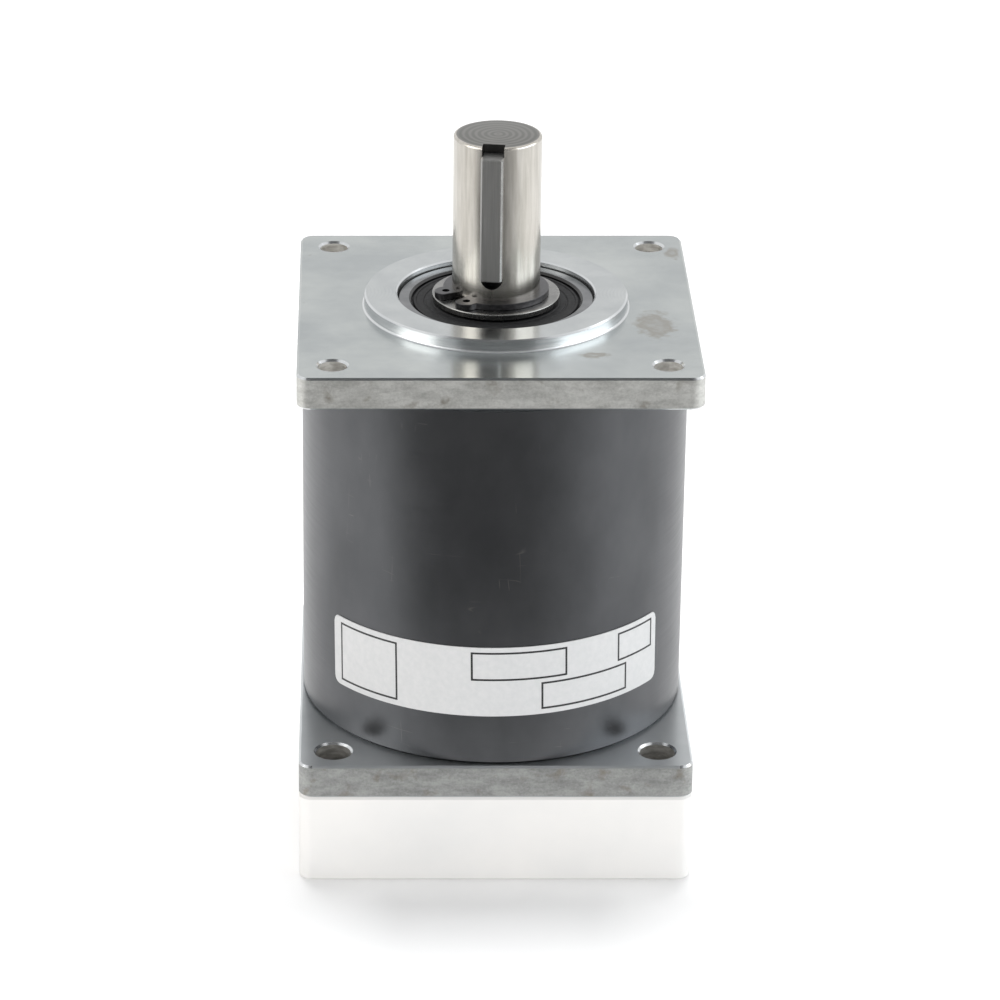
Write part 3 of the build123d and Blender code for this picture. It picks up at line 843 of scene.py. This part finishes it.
def screen(name, corners, material):
    """A flat sheet of the studio, which is no part of the reducer."""
    mesh = bpy.data.meshes.new(name)
    mesh.from_pydata(corners, [], [(0, 1, 2, 3)])
    mesh.materials.append(material)
    made = bpy.data.objects.new(name, mesh)
    bpy.context.scene.collection.objects.link(made)
    made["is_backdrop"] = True
    return made


floor_half = 3.0
screen("floor", [(x * floor_half, y * floor_half, 0) for x, y in ((-1, -1), (1, -1), (1, 1), (-1, 1))],
       studio_floor())


def lamp(name, place, size, power, colour=(1.0, 1.0, 1.0), mirrored=False):
    """A rectangular lamp that faces the middle of the reducer."""
    light = bpy.data.lights.new(name, "AREA")
    light.shape = "RECTANGLE"
    light.size, light.size_y = size
    light.energy = power
    light.color = colour
    made = bpy.data.objects.new(name, light)
    made.location = place
    toward = Vector((0, 0, 0.06)) - Vector(place)
    made.rotation_euler = toward.to_track_quat("-Z", "Y").to_euler()
    made.visible_glossy = mirrored
    bpy.context.scene.collection.objects.link(made)


lamp("lamp_above", (0.0, 0.24, 1.1), (0.45, 0.35), 11)
lamp("lamp_left", (-0.97, -0.30, 0.42), (0.7, 0.8), 4.1, (1.0, 0.975, 0.945), mirrored=True)
lamp("lamp_right", (1.02, -0.12, 0.42), (1.2, 0.8), 6.6, (0.94, 0.972, 1.0), mirrored=True)
lamp("lamp_front", (0.0, -1.25, 0.32), (0.9, 0.4), 4.6)


def card(name, corners, near, far):
    """A matt card that shows only mirrored. Its shade follows the direction from the reducer, which is
    arctan2(x, -y), through the near stops up to 0.15 m from the axis and the far ones from 0.20 m on."""
    material, tree, place = new_material(f"matt_grey_{name}")
    axes = add(tree, "ShaderNodeSeparateXYZ", {0: place}).outputs
    ahead = add(tree, "ShaderNodeMath", {0: axes["Y"], 1: -1.0}, operation="MULTIPLY").outputs[0]
    turn = add(tree, "ShaderNodeMath", {0: axes["X"], 1: ahead}, operation="ARCTAN2").outputs[0]
    share = span(tree, turn, -np.pi / 2, np.pi / 2)
    reach = add(tree, "ShaderNodeVectorMath", {0: place}, operation="LENGTH").outputs["Value"]
    shade = blend(tree, span(tree, reach, 0.15, 0.20), ramp(tree, share, near), ramp(tree, share, far))
    close(tree, add(tree, "ShaderNodeBsdfPrincipled", {"Base Color": shade, "Roughness": 0.95}))
    made = screen(name, corners, material)
    made.visible_camera = made.visible_diffuse = made.visible_shadow = False


card("card_before", [(-0.5, -0.7, 0.001), (0.5, -0.7, 0.001), (0.5, -0.07, 0.001), (-0.5, -0.07, 0.001)],
     ((0.14, "#c8c8c8"), (0.25, "#8c8c8c"), (0.63, "#8c8c8c"), (0.92, "#fcfcfc")),
     ((0.14, "#f4f4f4"), (0.24, "#727272"), (0.58, "#727272"), (0.90, "#fcfcfc")))
middle, dark = ((0.1, "#808080"), (0.9, "#808080")), ((0.1, "#606060"), (0.9, "#606060"))
card("card_behind_camera", [(-0.6, -0.9, 0.1), (0.6, -0.9, 0.1), (0.6, -0.9, 0.8), (-0.6, -0.9, 0.8)],
     middle, middle)
card("card_over", [(-0.5, -0.75, 1.0), (0.5, -0.75, 1.0), (0.5, -0.12, 1.0), (-0.5, -0.12, 1.0)],
     dark, dark)

world = bpy.data.worlds.new("studio")
bpy.context.scene.world = world
world.use_nodes = True
tree = world.node_tree
tree.nodes.clear()
soft = add(tree, "ShaderNodeBackground", {"Color": (0.97, 0.98, 1.0, 1), "Strength": 0.22})
white = add(tree, "ShaderNodeBackground", {"Color": (1, 1, 1, 1), "Strength": 1.0})
both = add(tree, "ShaderNodeMixShader", {0: seen_rays(tree), 1: soft.outputs[0], 2: white.outputs[0]})
add(tree, "ShaderNodeOutputWorld", {"Surface": both.outputs[0]})

camera_data = bpy.data.cameras.new("camera")
camera_data.sensor_width = 36
camera_data.lens = 160.8
camera_data.shift_x, camera_data.shift_y = 0.1385, -0.0117
camera = bpy.data.objects.new("camera", camera_data)
bpy.context.scene.collection.objects.link(camera)
stand, sight = Vector((-0.0196, -0.60354, 0.3151)), Vector((0.0002, 0.91557, -0.40215))
camera.matrix_world = Matrix.Translation(stand) @ sight.to_track_quat("-Z", "Y").to_matrix().to_4x4()
bpy.context.scene.camera = camera
bpy.context.scene.view_settings.view_transform = "Standard"

low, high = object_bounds()
